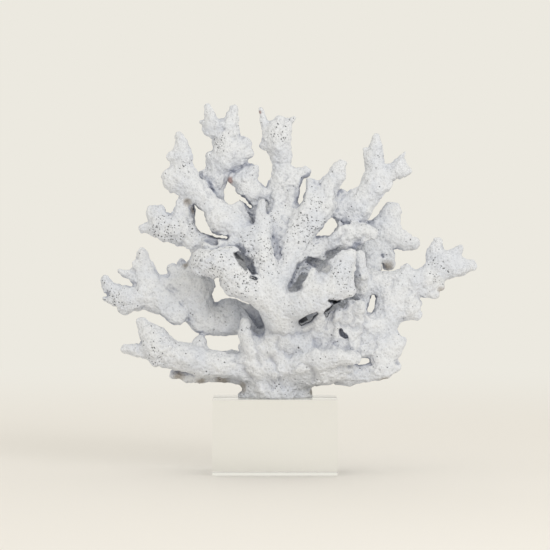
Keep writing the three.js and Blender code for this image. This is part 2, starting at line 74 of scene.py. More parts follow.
BRANCHES = {
    "foot": [
        [(0, 0, -4, 19), (0, 0, 4, 18)],
        [(-16, -2, -2, 8.5), (-14, -3, 8, 8.5)],
        [(16.2, -2, -2, 8.5), (15, -3, 8, 8.5)],
        [(0, -4, 8, 16), (2, -6, 24, 18), (3, -6, 36, 14)],
        [(-10, -12, 22, 12), (-10, -12, 32, 10)],
        [(14, -12, 20, 12), (18, -12, 34, 11)],
        [(-12, -18, 32, 8), (-18.2, -20, 42, 5.8), (-19, -20, 50, 3.1)],
        [(-16, -14, 30, 7), (-22, -15, 33, 2.5)],
        [(0, -20, 34, 8), (-4, -23, 43, 3)],
        [(12, -18, 20, 8), (15, -25, 21, 4)],
        [(20, -16, 34, 9), (24, -17, 44, 5)],
        [(2, -16, 20, 9), (2, -22, 16, 5)],
        [(18, -16, 38, 9), (26, -24, 48, 6.5), (29, -30, 56, 5)],
    ],
    "trunk": [
        [(0, 6, 34, 15), (0, 8, 52, 13), (0, 8, 70, 12), (0, 5, 88, 11), (-2, 3, 96, 8)],
    ],
    "front_stem": [
        [(5, -10, 32, 13), (5, -20, 45, 12), (3, -27, 58, 12), (0, -30, 70, 10)],
    ],
    "front_left_lobe": [
        [(0, -29, 62, 9), (-14, -33, 70, 9), (-26, -35, 80, 9.5), (-36, -35, 88, 9.5), (-46, -33, 88, 7)],
        [(-30, -34, 86, 9), (-28, -32, 92, 6)],
        [(-23, -36, 71, 6), (-28, -36, 69, 2.9)],
        [(-44, -34, 88, 7), (-49, -33, 84, 4)],
        [(-42, -33, 88, 7), (-46, -31, 93, 3.5)],
    ],
    "front_spike": [
        [(-2, -28, 70, 9), (-6, -28, 84, 8.5), (-9, -24, 97, 8), (-8.5, -20, 109, 5.2),
         (-8.5, -17, 119, 2.8), (-8.3, -15, 126, 1.5)],
        [(-10, -24, 96, 7), (-17, -22, 101, 3.5)],
        [(-7, -20, 108, 5), (-4.5, -19, 115, 1.9)],
        [(-9, -26, 80, 7), (-14.5, -24, 92, 6.5), (-18, -19, 104, 6)],
    ],
    "front_right_lobe": [
        [(6, -28, 58, 11), (18, -36, 63, 9.5), (30, -39, 70, 9.5), (40, -38, 79, 10), (44, -37.5, 89, 7)],
        [(45, -39, 88, 6), (48.5, -37.5, 94, 2.3)],
        [(22, -38, 68, 6.5), (24, -40, 76, 4.5), (24, -40, 84, 2.3)],
        [(18, -36.5, 60, 8), (28, -40.5, 61, 5.5), (35, -41.5, 60.4, 2.1)],
        [(38, -39, 72, 7.5), (46, -39, 71, 5.5)],
        [(40, -38.5, 80, 8), (38, -38.5, 88, 3.5)],
    ],
    "centre_right_branch": [
        [(6, -22, 78, 9), (13, -17, 97, 9), (20, -13, 113, 8.5), (25, -11, 126, 7)],
        [(14, -16, 102, 8), (27, -12, 117, 8), (33, -10, 127, 7), (36, -9, 136, 5.8),
         (40, -9, 145, 4.6), (43.3, -9, 150.8, 2.7)],
        [(10, -14, 100, 7), (15, -8, 116, 5.5)],
        [(24, -10, 126, 5), (22, -10, 139, 1.7)],
        [(36, -9, 138, 5), (42.5, -9, 142, 2.9)],
        [(26, -8, 128, 6), (26.5, -6, 134.5, 3.4)],
        [(33, -9, 124, 5), (38.5, -6, 117.5, 3)],
    ],
    "shelf_lobe": [
        [(20, -12, 88, 9), (30, -12, 97, 7.5), (42, -15, 104, 6.2), (54, -15, 106, 6), (62, -13, 106, 3.8)],
        [(43, -14, 103, 5), (46, -17, 107, 3.5)],
        [(52, -14, 105, 5), (55, -17, 109, 2.5)],
        [(36, -10, 98, 5), (41, -9, 111, 2.6)],
        [(47, -12, 100, 5), (51, -11, 112, 2.4)],
    ],
    "lower_left_branch": [
        [(-12, -10, 21, 10), (-30, -14, 21, 8.5), (-45, -14, 23, 9), (-60, -14, 27.5, 9.5),
         (-72, -14, 30.5, 9.5)],
        [(-74, -14, 34, 9), (-81.5, -14, 42, 6.6), (-85.5, -14, 49.2, 3.4)],
        [(-80, -14, 42, 5), (-75, -14, 40, 5)],
        [(-78, -14, 31, 6), (-88, -13, 30.5, 5), (-95.8, -12, 32.5, 3.1)],
        [(-68, -14, 27, 7), (-76, -15, 24, 3.3)],
        [(-14, -2, 13, 6), (-35, -2, 14.5, 4.5), (-55, -4, 15, 4.6), (-65, -5, 14.8, 3.4)],
        [(-48, -11, 28, 6), (-48, -9, 36, 4.5), (-47.5, -8, 39, 2.5)],
    ],
    "left_branch": [
        [(-4, 0, 46, 10), (-20, 3, 50, 10), (-35, 3, 50.5, 10.5), (-48, 0, 52.5, 10),
         (-50, -2, 65, 10.5), (-54, -4, 75, 9)],
        [(-28, 3, 53, 9), (-29, 3, 56, 8)],
        [(-22, -4, 45.5, 4.5), (-48, -4, 47, 4.5)],
        [(-58, -4, 76, 7.5), (-66, -4, 83, 3.7)],
        [(-60, -4, 72, 7), (-70.5, -4, 75.5, 2.9)],
        [(-55, -2, 80, 6), (-60, 0, 87, 2.7)],
        [(-50, -4, 70, 8), (-46, -4, 74, 6.5)],
    ],
    "far_left_branch": [
        [(-63, -6, 54.5, 7.5), (-72, -4, 61.5, 8.5), (-82, -3, 65.5, 8.5), (-92, -4, 65, 7),
         (-99, -4, 65, 6)],
        [(-97, -4, 66, 5.5), (-106.4, -3, 71, 4.8), (-109.1, -3, 76, 2.7)],
        [(-100, -5, 64, 5), (-109, -5, 63.5, 1.7)],
        [(-92, -4, 62, 6), (-97.5, -5, 56, 3.3)],
        [(-82, -3, 67, 8), (-83.6, -2, 81, 6.6), (-85.2, -2, 92.8, 3.2)],
        [(-86, -3, 80, 5), (-90, -3, 87, 1.9)],
        [(-86, -3, 76, 5), (-94, -3, 79, 3), (-99.5, -3, 81, 1.9)],
        [(-72, -2, 64, 7), (-78, -1, 73, 6)],
    ],
    "upper_left_branch": [
        [(-6, -10, 90, 10), (-22, -12, 104, 9), (-33, -12, 116, 8.5), (-45, -10, 127, 7.5),
         (-54, -8, 138, 7.5), (-59, -8, 148, 6.5), (-60, -8, 159, 6.2), (-61.5, -8, 168, 3.2)],
        [(-57, -9, 142, 6), (-67.8, -10, 142.5, 5)],
        [(-55, -9, 136, 6), (-68, -11, 136.5, 3.4)],
        [(-50, -9, 131, 7), (-59, -9, 131.5, 2.2)],
        [(-60, -9, 155, 5), (-67.2, -11, 155.5, 3.3)],
        [(-25, -14, 110, 8), (-35, -17, 112, 6), (-41, -16, 113, 2.5)],
        [(-33, -15, 113, 6), (-35, -16, 109, 3.5)],
        [(-22, -8, 113, 6), (-23, -8, 123, 3.9)],
    ],
    "left_upper_branch": [
        [(-20, -6, 88, 8), (-38, -8, 96, 7), (-52, -8, 102.5, 7), (-63, -8, 108.5, 8.2),
         (-74, -8, 110, 6.5)],
        [(-72, -8, 111, 6.5), (-78.6, -9, 120, 4.6), (-74, -9, 120.5, 3)],
        [(-74, -8, 109, 5), (-84.6, -8, 109.3, 2.3)],
        [(-60, -8, 110, 7), (-59.5, -9, 123, 4.3)],
        [(-66, -9, 106, 6), (-70, -10, 103, 2.9)],
        [(-57, -4, 109, 6), (-57, 1, 122, 5)],
        [(-44, -6, 99, 6), (-50, -5, 91, 3.5), (-53.5, -4, 84, 4)],
        [(-22, 4, 94, 8), (-38, 6, 98, 5), (-50, 2, 101, 3.5)],
        [(-22, -16, 98, 7), (-30, -20, 98, 5.5), (-42, -20, 98, 5)],
    ],
    "top_left_branch": [
        [(-8, 4, 98, 8), (-22, 4, 108, 7), (-37, 4, 124, 5), (-40, 2, 136, 7), (-36, 1, 147, 8),
         (-31, 0, 157, 9), (-33, 0, 167, 8), (-36, 0, 173, 7)],
        [(-40, 0, 176, 6), (-43.4, 0, 187.9, 2.4)],
        [(-40, 0, 174, 5), (-47.5, 1, 177, 1.9)],
        [(-30, 0, 172, 7), (-27, 0, 186, 2.9)],
        [(-27, -1, 160, 7), (-20, -2, 163.5, 3.9)],
        [(-24, -2, 158, 6), (-16, -3, 157, 2.5)],
        [(-28, -1, 152, 6), (-21, -2, 152, 3.5)],
        [(-36, 1, 150, 6), (-42.5, 0, 156, 2.3)],
        [(-38, 1, 141, 6), (-46, 1, 142.5, 3.5)],
    ],
    "top_centre_branch": [
        [(0, -4, 94, 8), (-1, -6, 108, 6.5), (1, -3, 122, 7), (3.6, 0, 137, 7.2), (4, 1, 149, 5.8),
         (3, 0, 157, 7), (1, 0, 167, 7.5), (2, 0, 172, 6.5)],
        [(7, -8, 106, 6), (10, -5, 120, 5.5), (10, -1, 134, 5.2)],
        [(2, -16, 90, 7), (1, -14, 103, 6), (0, -10, 117, 5)],
        [(-3, 0, 171, 4), (-7, 0, 178, 2.6), (-9.5, 0, 186, 1.7)],
        [(2, -1, 174, 5), (3, -1, 179, 2.7)],
        [(6, 0, 171, 4.5), (11.3, 0, 179.5, 2.3)],
        [(-1, -1, 163, 6), (-8, -1, 162.5, 1.7)],
        [(5, 0, 157, 5), (8.5, 0, 156, 2.5)],
        [(6, 0, 136, 6), (13, -1, 142, 6), (19.2, -2, 145, 4.1)],
    ],
    "upper_middle_branch": [
        [(-5, 0, 104, 6), (-12, 0, 119, 4.5), (-18, -1, 134, 7.5), (-20, -2, 141, 7)],
        [(-20, -2, 142, 5.5), (-26, -2, 141.5, 3.9)],
        [(-17, -2, 142, 5), (-13.8, -3, 146.6, 3.3)],
        [(-12, -1, 133, 5), (-7, -1, 130.6, 3.6)],
        [(-10, 6, 106, 4), (-18, 6, 117, 2.9)],
    ],
    "right_back_branch": [
        [(4, 8, 72, 9), (18, 10, 82, 8), (34, 10, 93, 7.5), (50, 12, 101, 8), (66, 14, 107, 9),
         (76, 14, 105, 8), (84, 14, 100.5, 5.5), (90.8, 14, 99.7, 4.1)],
        [(71, 14, 112, 6.5), (74, 14, 120, 5.6)],
        [(76, 14, 112, 5), (78.4, 14, 122, 3.6)],
        [(68, 14, 100, 7), (72, 12, 91, 6), (73.8, 12, 86, 4.4)],
        [(79, 13, 106, 5), (83, 13, 105, 2.1)],
        [(60, 12, 98, 7), (63, 8, 88, 7), (62, 4, 80, 6)],
    ],
    "upper_right_branch": [
        [(46, 4, 103, 7), (48, 0, 113, 8.5), (54, -1, 123, 9.5), (61.5, -1, 133.5, 7.8),
         (64.5, 0, 145, 6.3), (64.5, 0, 156, 5.3), (65, 0, 168, 2.5)],
        [(61, 0, 154, 4), (58, 0, 160, 1.7)],
        [(65, 0, 139, 6.5), (74, 0, 145, 6.3), (80.5, -1, 148, 5.8)],
        [(80, 0, 152, 3.5), (83, 0, 157.5, 1.3)],
        [(82.3, -1, 147.8, 4.9), (86.7, -1, 146.6, 2.2)],
        [(64, -2, 133, 6), (72.5, -3, 136.5, 4.4)],
        [(49, -1, 124, 7), (50, -2, 130, 3.3)],
        [(45, 0, 119, 7), (41.5, -3, 125, 5.5), (42, -2, 131, 3)],
    ],
    "right_branch": [
        [(4, 8, 60, 10), (20, 6, 63, 9), (36, -2, 65, 9), (48, -6, 69, 9), (62, -6, 73, 9),
         (76, -6, 73, 8), (88, -5, 74, 8), (102, -4, 79, 8.5), (108, -3, 84, 9), (118, -2, 85, 7),
         (126.5, -2, 86.3, 3.7)],
        [(101.5, -3, 89, 5.5), (105, -2, 101.3, 3.4)],
        [(112, -3, 88, 6), (119, -2, 95.3, 3.1)],
        [(92, -5, 71, 6), (103.8, -6, 66.5, 3)],
        [(103, -4, 75, 4), (107, -4, 71, 1.5)],
        [(83, -5, 77, 6), (85, -6, 82, 3.3)],
        [(82, -6, 66, 8), (86, -8, 57, 6.5), (91.5, -9, 53, 3.1)],
        [(88, -8, 62, 5), (91.5, -8, 60.5, 2.1)],
        [(55, -8, 66, 6), (56, -11, 56, 3.5)],
    ],
    "right_fan": [
        [(74, -8, 66, 6.5), (74, -9, 54, 8), (70.4, -10, 43.5, 7.1), (73, -10, 33, 8), (68, -12, 23, 7)],
        [(76, -10, 38, 6), (81.5, -11, 37, 2.7)],
        [(76, -10, 30, 5), (79, -11, 29, 2.5)],
        [(70, -9, 66, 5), (70, -10, 52, 6)],
        [(66, -12, 32, 6), (56, -16, 31, 4)],
    ],
    "right_knobs": [
        [(22, -14, 36, 10), (34, -18, 40, 9), (46, -20, 42, 8), (57, -16, 46, 8), (67, -12, 48, 6.5)],
        [(38, -24, 44, 6), (41, -31, 57, 3.3)],
        [(47, -21, 46, 6), (47.2, -27, 61, 3.6)],
        [(54, -19, 50, 5), (54, -25, 60, 3.3)],
        [(46, -18, 34, 8), (57, -14, 35, 8), (62, -13, 37, 6)],
    ],
    "small_upright": [
        [(54, -14, 72, 6), (55, -22, 80, 4.6), (54.5, -23, 91.5, 3.7)],
    ],
    "lower_right_lobe": [
        [(14, -14, 24, 10), (28, -25, 27, 8.5), (40, -28, 28.5, 7), (48, -29, 27.5, 5),
         (51.5, -28, 26.5, 3.3)],
        [(16, -10, 16, 9), (32, -17, 17.5, 8.6), (43, -19, 19, 6.5)],
    ],
    "lower_right_branch": [
        [(10, -4, 16, 10), (30, -8, 15.5, 6.3), (45, -11, 14.5, 5.5), (58, -12, 16, 6.2),
         (70, -12, 18, 5.6), (79, -11, 20, 1.9)],
        [(48, -12, 14, 5), (46, -13, 12, 3.1)],
        [(48, -14, 17, 4.5), (63, -13, 18.5, 4)],
    ],
    "back_left_branch": [
        [(-4, 12, 60, 11), (-14, 26, 72, 9), (-21, 37, 84, 8), (-25, 47, 95, 5.5)],
        [(-20, 36, 82, 6), (-31, 44, 84, 3.5)],
        [(-18, 38, 86, 6), (-12, 48.5, 94, 3.3)],
    ],
    "back_right_branch": [
        [(6, 12, 58, 11), (20, 26, 66, 9), (32, 36, 74, 8.5), (42, 45, 82, 6), (48, 50, 86.5, 3.1)],
        [(30, 36, 74, 6), (38, 48.5, 72, 3.3)],
        [(26, 32, 72, 7), (24, 44, 84, 4)],
    ],
    "back_upper_branch": [
        [(0, 8, 86, 9), (3, 20, 100, 8), (2, 30, 114, 7), (-3, 38, 125, 5.6), (-5, 42, 132, 3.5)],
        [(2, 28, 112, 6), (9, 38, 120, 3.5)],
    ],
    "back_lower_left_branch": [
        [(-6, 10, 20, 12), (-22, 28, 19, 8.5), (-36, 40, 21, 6.8), (-46, 48.5, 23, 3.5)],
        [(-28, 34, 20, 6), (-26, 48, 24, 3.5)],
    ],
    "back_lower_right_branch": [
        [(6, 10, 20, 12), (22, 28, 20, 8.5), (35, 40, 23, 7), (43, 47, 27, 4.1)],
        [(26, 32, 21, 6.5), (20, 48, 24, 4)],
    ],
    "back_middle_right_branch": [
        [(8, 10, 44, 10), (26, 22, 47, 8), (42, 30, 51, 7), (51, 37, 55, 4.3)],
        [(34, 26, 49, 6), (36, 40, 58, 3.7)],
    ],
    "back_middle_left_branch": [
        [(-8, 8, 44, 10), (-22, 22, 48, 8), (-36, 32, 51, 6.8), (-47, 40, 55, 4.1)],
        [(-26, 26, 49, 6), (-22, 42, 56, 3.7)],
    ],
}

FRONT = -60  # mm, y in front of the whole colony
BACK = 60  # mm, y behind it

# From y to y in mm, how dark inside, and the outline, as stations of (x, height, radius) in mm.
HOLLOWS = [
    # seen right through
    (FRONT, BACK, 0.3, [(-29, 135.5, 1.7), (-28.2, 129.8, 2.9)]),
    (FRONT, BACK, 0.3, [(-27.5, 131.5, 2.3), (-20.6, 128.1, 1.7), (-16, 123.3, 1.3)]),
    (FRONT, BACK, 0.3, [(-51.5, 124, 0.8), (-47.4, 118.5, 3.0), (-47.3, 111.5, 4.1)]),
    (FRONT, BACK, 0.3, [(-46.5, 108.5, 2.6), (-39, 104.6, 1.6), (-31, 103.4, 1.3)]),
    (FRONT, BACK, 0.3, [(-36.8, 77, 1.9), (-36.4, 72, 2.5), (-37.6, 66, 3.4)]),
    (FRONT, BACK, 0.3, [(-37.5, 65, 2.8), (-31, 65.6, 1.7)]),
    (FRONT, BACK, 0.3, [(63, 64.5, 2.1), (62.2, 57.8, 2.6)]),
    (FRONT, BACK, 0.3, [(54, 22.6, 1.0), (59.5, 24.4, 1.6)]),
    (FRONT, BACK, 0.3, [(33.8, 105.6, 1.9), (38.8, 110.8, 2.3)]),
    (FRONT, BACK, 0.3, [(16.5, 127.5, 1.8), (18.3, 136, 2.0), (19.6, 140.5, 1.3)]),
    (FRONT, BACK, 0.3, [(63, 116, 1.8), (67.2, 121.5, 2.0), (71.5, 127, 2.0)]),
    (FRONT, BACK, 0.3, [(-24.6, 5.6, 3.4), (-29, 5.6, 3.6)]),
    # dark recesses
    (FRONT, -2, 0, [(-20, 60, 1.5), (-14, 54.5, 2.9), (-9.3, 47.5, 2.8)]),
    (FRONT, 8, 1, [(17.2, 49.9, 2.1), (21.5, 52.3, 2.4), (26.2, 55.8, 0.9)]),
    (FRONT, -4, 1, [(32.6, 53.8, 0.8), (32.6, 56.4, 1.6), (36.4, 60.6, 1.0), (41.5, 63.6, 0.9)]),
    (FRONT, -8, 1, [(34.2, 63.9, 0.8), (38.6, 62.8, 1.3)]),
    (FRONT, -22.5, 0, [(41.8, 45, 0.6), (42.6, 42, 1.1), (45.8, 40.2, 0.7)]),
    (FRONT, -19, 0, [(10.6, 71.6, 2.9), (15.5, 72.2, 2.3)]),
    (FRONT, -20, 0, [(12.5, 73.2, 3.8), (15, 79, 4.0), (17.5, 84.5, 3.8), (22.5, 89, 2.2)]),
    (FRONT, -10, 0, [(22.5, 89, 2.4), (28, 86.5, 3.2), (31.5, 84.5, 4.0)]),
    (-34, -18, 0, [(19, 80, 4.0), (28, 84, 3.6)]),
    (FRONT, -13, 0.3, [(35, 92.5, 2.2), (38.5, 95, 1.4)]),
    (FRONT, -17, 0.1, [(-45.5, 102.6, 1.8), (-38, 100, 2.4)]),
    (FRONT, -17.5, 0.8, [(-25.6, 93.6, 0.9), (-21.6, 88, 1.5), (-18.5, 83.4, 0.9)]),
    (FRONT, -25, 0, [(-24, 94, 1.0), (-18, 87.5, 2.9), (-13.6, 81.4, 1.7)]),
    (FRONT, -22, 0.5, [(-15.6, 78.8, 0.6), (-12.2, 77.4, 1.0)]),
    (FRONT, -4, 1, [(67.5, 88.2, 1.0), (69.3, 89.6, 1.2)]),
    (FRONT, -8, 0.3, [(-57.8, 83.6, 0.9), (-55.8, 88, 0.8)]),
    (FRONT, -3, 0.4, [(-1, 151.6, 0.1), (4, 151.2, 0.12), (9, 151.9, 0.1)]),
]

# Soft creases in the front skin: from y to y and the outline, as above. A groove is as wide to each
# side as the mean of its radii, and half as deep.
GROOVES = [
    (FRONT, -14, [(-7, 45, 3.6), (2, 40.5, 4.6), (12, 41, 4.6), (22, 44, 4)]),
    (FRONT, -12, [(-14, 46, 3), (-11.5, 34, 4.2), (-10, 22, 4)]),
    (FRONT, -14, [(1, 39, 3), (2, 32, 3.6), (8, 28.5, 4), (15, 31, 3.4)]),
    (FRONT, -14, [(24, 38, 3.4), (29, 33.5, 4), (40, 34.5, 3.6), (52, 32, 3)]),
    (FRONT, -12, [(-2, 25, 3.6), (3, 16, 4.2), (5, 8, 3.4)]),
    (FRONT, -12, [(12, 21, 2.4), (16, 23.4, 2.4), (22, 22.6, 2.2)]),
    (FRONT, -12, [(23, 20, 3.4), (25, 12, 3.6)]),
    (FRONT, -10, [(-26, 26, 3.4), (-20, 20, 4), (-16, 12, 3.4)]),
    (FRONT, -12, [(35, 53, 3), (37, 44, 3.6), (33, 36, 3.6)]),
    (FRONT, -12, [(38, 49, 4.5), (46, 47.5, 4.5), (53, 46, 4)]),
    (FRONT, -10, [(58, 54, 3), (56.5, 44, 3.6), (55, 36, 3)]),
    (-40, -12, [(42, 45, 2.4), (44.5, 40.5, 3), (46.5, 35, 3), (50, 31.6, 2)]),
    (-40, -8, [(63.3, 28, 2.2), (65.3, 41, 2.4)]),
    (FRONT, -14, [(40, 16.3, 1.6), (48, 16.6, 2.0)]),
    (-40, -12, [(55, 80.5, 1.4), (58.6, 86, 1.4)]),
    (-40, -12, [(44.3, 50, 3.2), (44.3, 63, 3.4)]),
    (-40, -10, [(50.6, 49, 3.2), (50.4, 63, 3.4)]),
    (-40, 2, [(-2.3, 126, 2.2), (-3.2, 134, 2.4)]),
    (-40, 4, [(5.6, 127, 2.2), (9, 136, 2.4)]),
    (FRONT, -14, [(-4, 10.4, 2.2), (-2.4, 7.6, 1.8)]),
    (FRONT, -8, [(-13.6, 4.2, 1.9), (-11.6, 4.4, 1.6)]),
    (FRONT, -8, [(-58, 119, 2.0), (-54, 112, 2.0)]),
    (FRONT, -6, [(-56, 126, 2.4), (-51, 121.5, 2.2)]),
    (-30, 4, [(-47, 141, 2.2), (-42, 130, 2.2)]),
    (-40, -6, [(38.3, 115, 3.0), (39.6, 137, 2.4)]),
    (FRONT, -12, [(74.5, 73, 3.0), (76.5, 76, 2.6)]),
    (-40, -6, [(41, 101, 3.4), (45, 108, 3)]),
    (-40, -6, [(51, 100, 3.4), (57, 103, 3)]),
    (-50, -14, [(-41.5, 60.5, 2.0), (-41.2, 57.5, 1.8)]),
]

HOLLOW_EDGE = 0.7  # share of a hollow's darkness that its outline gets
HOLLOW_FADE = 0.8  # mm, over which the darkness grows from none outside to all inside
HOLLOW_END = 2  # mm, how far behind a recess's flat back its darkness still counts
BEND = 0.8  # mm, how far sine waves bend the grooves' straight runs


# ---- smooth random values ----

OCTAVES = [  # spacing of the lattice and height of its lumps in mm, and its seed
    (6.5, 0.5, 11),
    (2.8, 0.26, 12),
    (1.25, 0.22, 13),
]
SPLINE_GAIN = 3.0  # makes good what the splines' blending takes off the random numbers


def lattice_of(spacing, seed):
    """One random number for each point of a cubic lattice over the whole colony."""
    counts = np.ceil((COLONY_HIGH - COLONY_LOW) / spacing).astype(int) + SPARE
    return np.random.default_rng(seed).standard_normal(counts).astype(np.float32)


LATTICES = [(spacing, height, lattice_of(spacing, seed)) for spacing, height, seed in OCTAVES]


def spline_weights(places, spacing, low):
    """Where the lattice points that count start, and the cubic B-spline weight of each of them
    (columns) at each place (rows)."""
    along = (places - low) / spacing + 1
    first = np.floor(along).astype(int)
    part = along - first
    start = first[0] - 1
    rows = np.arange(len(places))
    weights = np.zeros((len(places), first[-1] + 3 - start), np.float32)
    weights[rows, first - 1 - start] = (1 - part) ** 3 / 6
    weights[rows, first - start] = (3 * part**3 - 6 * part**2 + 4) / 6
    weights[rows, first + 1 - start] = (-3 * part**3 + 3 * part**2 + 3 * part + 1) / 6
    weights[rows, first + 2 - start] = part**3 / 6
    return start, weights


def lumps(axes, spacing, lattice):
    """Smooth random heights over a grid, about 1 from the mean: the lattice's numbers joined by
    cubic B-splines along x, y and z in turn."""
    values = lattice
    for axis in range(3):
        start, weights = spline_weights(axes[axis], spacing, COLONY_LOW[axis])
        values = np.take(values, range(start, start + weights.shape[1]), axis=axis)
        values = np.moveaxis(np.tensordot(weights, values, axes=(1, axis)), 0, axis)
    return values * SPLINE_GAIN


# ---- the distance field ----

def smooth_min(a, b, web):
    """The smaller of two distances, less a web that is a quarter of `web` deep where they are equal
    and fades out where they differ by `web`."""
    near = np.maximum(web - np.abs(a - b), 0) / web
    return np.minimum(a, b) - near * near * web / 4


def grid_axes(low, high):
    """The grid's x, y and z values from low to high, on one lattice for the whole colony."""
    return [np.arange(math.floor(a / GRID), math.ceil(b / GRID) + 1) * GRID for a, b in zip(low, high)]


def limb_box(limb, reach):
    """The low and high corners of the box round a limb, with some reach to spare on every side."""
    stations = np.array(limb, float)
    radii = stations[:, 3:]
    return (stations[:, :3] - radii - reach).min(0), (stations[:, :3] + radii + reach).max(0)


def window(axes, low, high):
    """The part of a grid inside a box, as three slices, or None."""
    slices = []
    for values, a, b in zip(axes, low, high):
        first, last = np.searchsorted(values, (a, b))
        if first >= last:
            return None
        slices.append(slice(first, last))
    return tuple(slices)


def limb_distance(axes, limb):
    """Distance to a chain of round cones: the distance to the nearest point of each straight run of
    the limb, less the radius there, and the least of those over the runs."""
    x, y, z = (a.astype(np.float32) for a in np.ix_(*axes))
    nearest = None
    for start, end in itertools.pairwise(np.array(limb, np.float32)):
        run = end - start
        along = (x - start[0]) * run[0] + (y - start[1]) * run[1] + (z - start[2]) * run[2]
        along = np.clip(along / np.dot(run[:3], run[:3]), 0, 1)
        dx = x - start[0] - run[0] * along
        dy = y - start[1] - run[1] * along
        dz = z - start[2] - run[2] * along
        distance = np.sqrt(dx * dx + dy * dy + dz * dz) - (start[3] - SLIM + run[3] * along)
        nearest = distance if nearest is None else np.minimum(nearest, distance)
    return nearest


def flat_distance(x, z, outline):
    """Distance in the x-z plane to a chain of melted discs, negative inside it."""
    nearest = None
    for (x0, z0, r0), (x1, z1, r1) in itertools.pairwise(outline):
        across, up = x1 - x0, z1 - z0
        along = np.clip(((x - x0) * across + (z - z0) * up) / (across * across + up * up), 0, 1)
        distance = np.hypot(x - x0 - across * along, z - z0 - up * along) - (r0 + (r1 - r0) * along)
        nearest = distance if nearest is None else np.minimum(nearest, distance)
    return nearest


def bore_hollows(axes, field):
    """Takes the hollows out of a field. Each is bored along y, and ends flat at the back."""
    for front, back, _, outline in HOLLOWS:
        stations = np.array(outline)
        reach = stations[:, 2].max() + HOLLOW_WEB
        low, high = stations[:, :2].min(0) - reach, stations[:, :2].max(0) + reach
        part = window(axes, (low[0], front - HOLLOW_WEB, low[1]), (high[0], back + HOLLOW_WEB, high[1]))
        if part is not None:
            x, y, z = (a.astype(np.float32) for a in np.ix_(*(a[s] for a, s in zip(axes, part))))
            distance = np.maximum(flat_distance(x, z, outline), np.maximum(front - y, y - back))
            field[part] = -smooth_min(-field[part], distance, HOLLOW_WEB)


SMOOTH_MIDDLE = (0, -20, 45)  # x, y and height in mm of the stem, where the paint lies thickest
SMOOTH_REACH = 20  # mm from there, within which the skin is smoothest
SMOOTH_FADE = 45  # mm on from that, over which it gets as lumpy as it can be


def roughness(x, y, z):
    """How lumpy the skin is: half near the stem's middle, growing evenly with the distance from it,
    and full on the outer branches."""
    away = np.sqrt(sum((v - middle) ** 2 for v, middle in zip((x, y, z), SMOOTH_MIDDLE)))
    return 0.5 + 0.5 * np.clip((away - SMOOTH_REACH) / SMOOTH_FADE, 0, 1)


def branch_fields(name):
    """A branch's grid axes, the field of the whole colony there, and the branch's own share of it.

    The colony's field is the smooth minimum over every limb, plus lumps, less the hollows, and cut off
    flat at height 0. The share is the same field, but past the seam, where another branch is nearer
    than this one, it rises by SINK times the difference, so the branch ends in a blunt wedge under
    its neighbour's skin."""
    boxes = [limb_box(limb, REACH) for limb in BRANCHES[name]]
    axes = grid_axes(np.min([b[0] for b in boxes], 0), np.max([b[1] for b in boxes], 0))
    shape = [len(a) for a in axes]
    colony = np.full(shape, REACH, np.float32)
    own = np.full(shape, REACH, np.float32)
    others = np.full(shape, REACH, np.float32)
    for branch, limbs in BRANCHES.items():
        nearest = own if branch == name else others
        for limb in limbs:
            part = window(axes, *limb_box(limb, REACH))
            if part is None:
                continue
            distance = limb_distance([a[s] for a, s in zip(axes, part)], limb)
            nearest[part] = np.minimum(nearest[part], distance)
            colony[part] = smooth_min(colony[part], distance, WEB)
    rough = roughness(*np.ix_(*axes)).astype(np.float32)
    for step, (spacing, height, lattice) in enumerate(LATTICES):
        colony += height * rough * lumps(axes, spacing, lattice)
        if step == 0:  # the smaller lumps come after it, so they roughen the hollows' walls too
            bore_hollows(axes, colony)
    colony = np.maximum(colony, -axes[2])
    return axes, colony, colony + SINK * np.maximum(own - others, 0)


# ---- the surface of a field ----

CORNERS = np.array(list(itertools.product((0, 1), repeat=3)))
EDGES = [
    (a, b)
    for a, b in itertools.combinations(range(8), 2)
    if np.abs(CORNERS[a] - CORNERS[b]).sum() == 1
]


def surface_net(field):
    """The zero surface of a sampled field, as points in grid steps and quads: one point in each cell
    that the surface crosses, at the mean of its crossings of the cell's edges, and one quad round
    each grid edge that it crosses, wound so that it faces the positive side."""
    inside = field < 0
    cells = tuple(n - 1 for n in field.shape)
    count = np.zeros(cells, np.int8)
    for corner in CORNERS:
        count += inside[tuple(slice(c, c + n) for c, n in zip(corner, cells))]
    crossed = np.nonzero((count > 0) & (count < 8))
    base = np.stack(crossed, 1)
    values = np.stack([field[tuple((base + corner).T)] for corner in CORNERS])
    total = np.zeros((len(base), 3))
    hits = np.zeros((len(base), 1))
    for a, b in EDGES:
        cut = (values[a] < 0) != (values[b] < 0)
        part = values[a] / np.where(cut, values[a] - values[b], 1)
        place = CORNERS[a] + part[:, None] * (CORNERS[b] - CORNERS[a])
        total += np.where(cut[:, None], place, 0)
        hits += cut[:, None]
    number = np.full(cells, -1, np.int64)
    number[crossed] = np.arange(len(base))
    quads = []
    for axis in range(3):
        u, v = (axis + 1) % 3, (axis + 2) % 3
        step = np.eye(3, dtype=int)
        here = [slice(1, -1)] * 3
        here[axis] = slice(0, -1)
        there = list(here)
        there[axis] = slice(1, None)
        low, high = inside[tuple(here)], inside[tuple(there)]
        for leaving, order in ((low & ~high, (0, 1, 2, 3)), (~low & high, (3, 2, 1, 0))):
            at = np.stack(np.nonzero(leaving), 1)
            at[:, u] += 1
            at[:, v] += 1
            ring = [at - step[u] - step[v], at - step[v], at, at - step[u]]
            quads.append(np.stack([number[tuple(ring[k].T)] for k in order], 1))
    return base + total / hits, np.concatenate(quads)


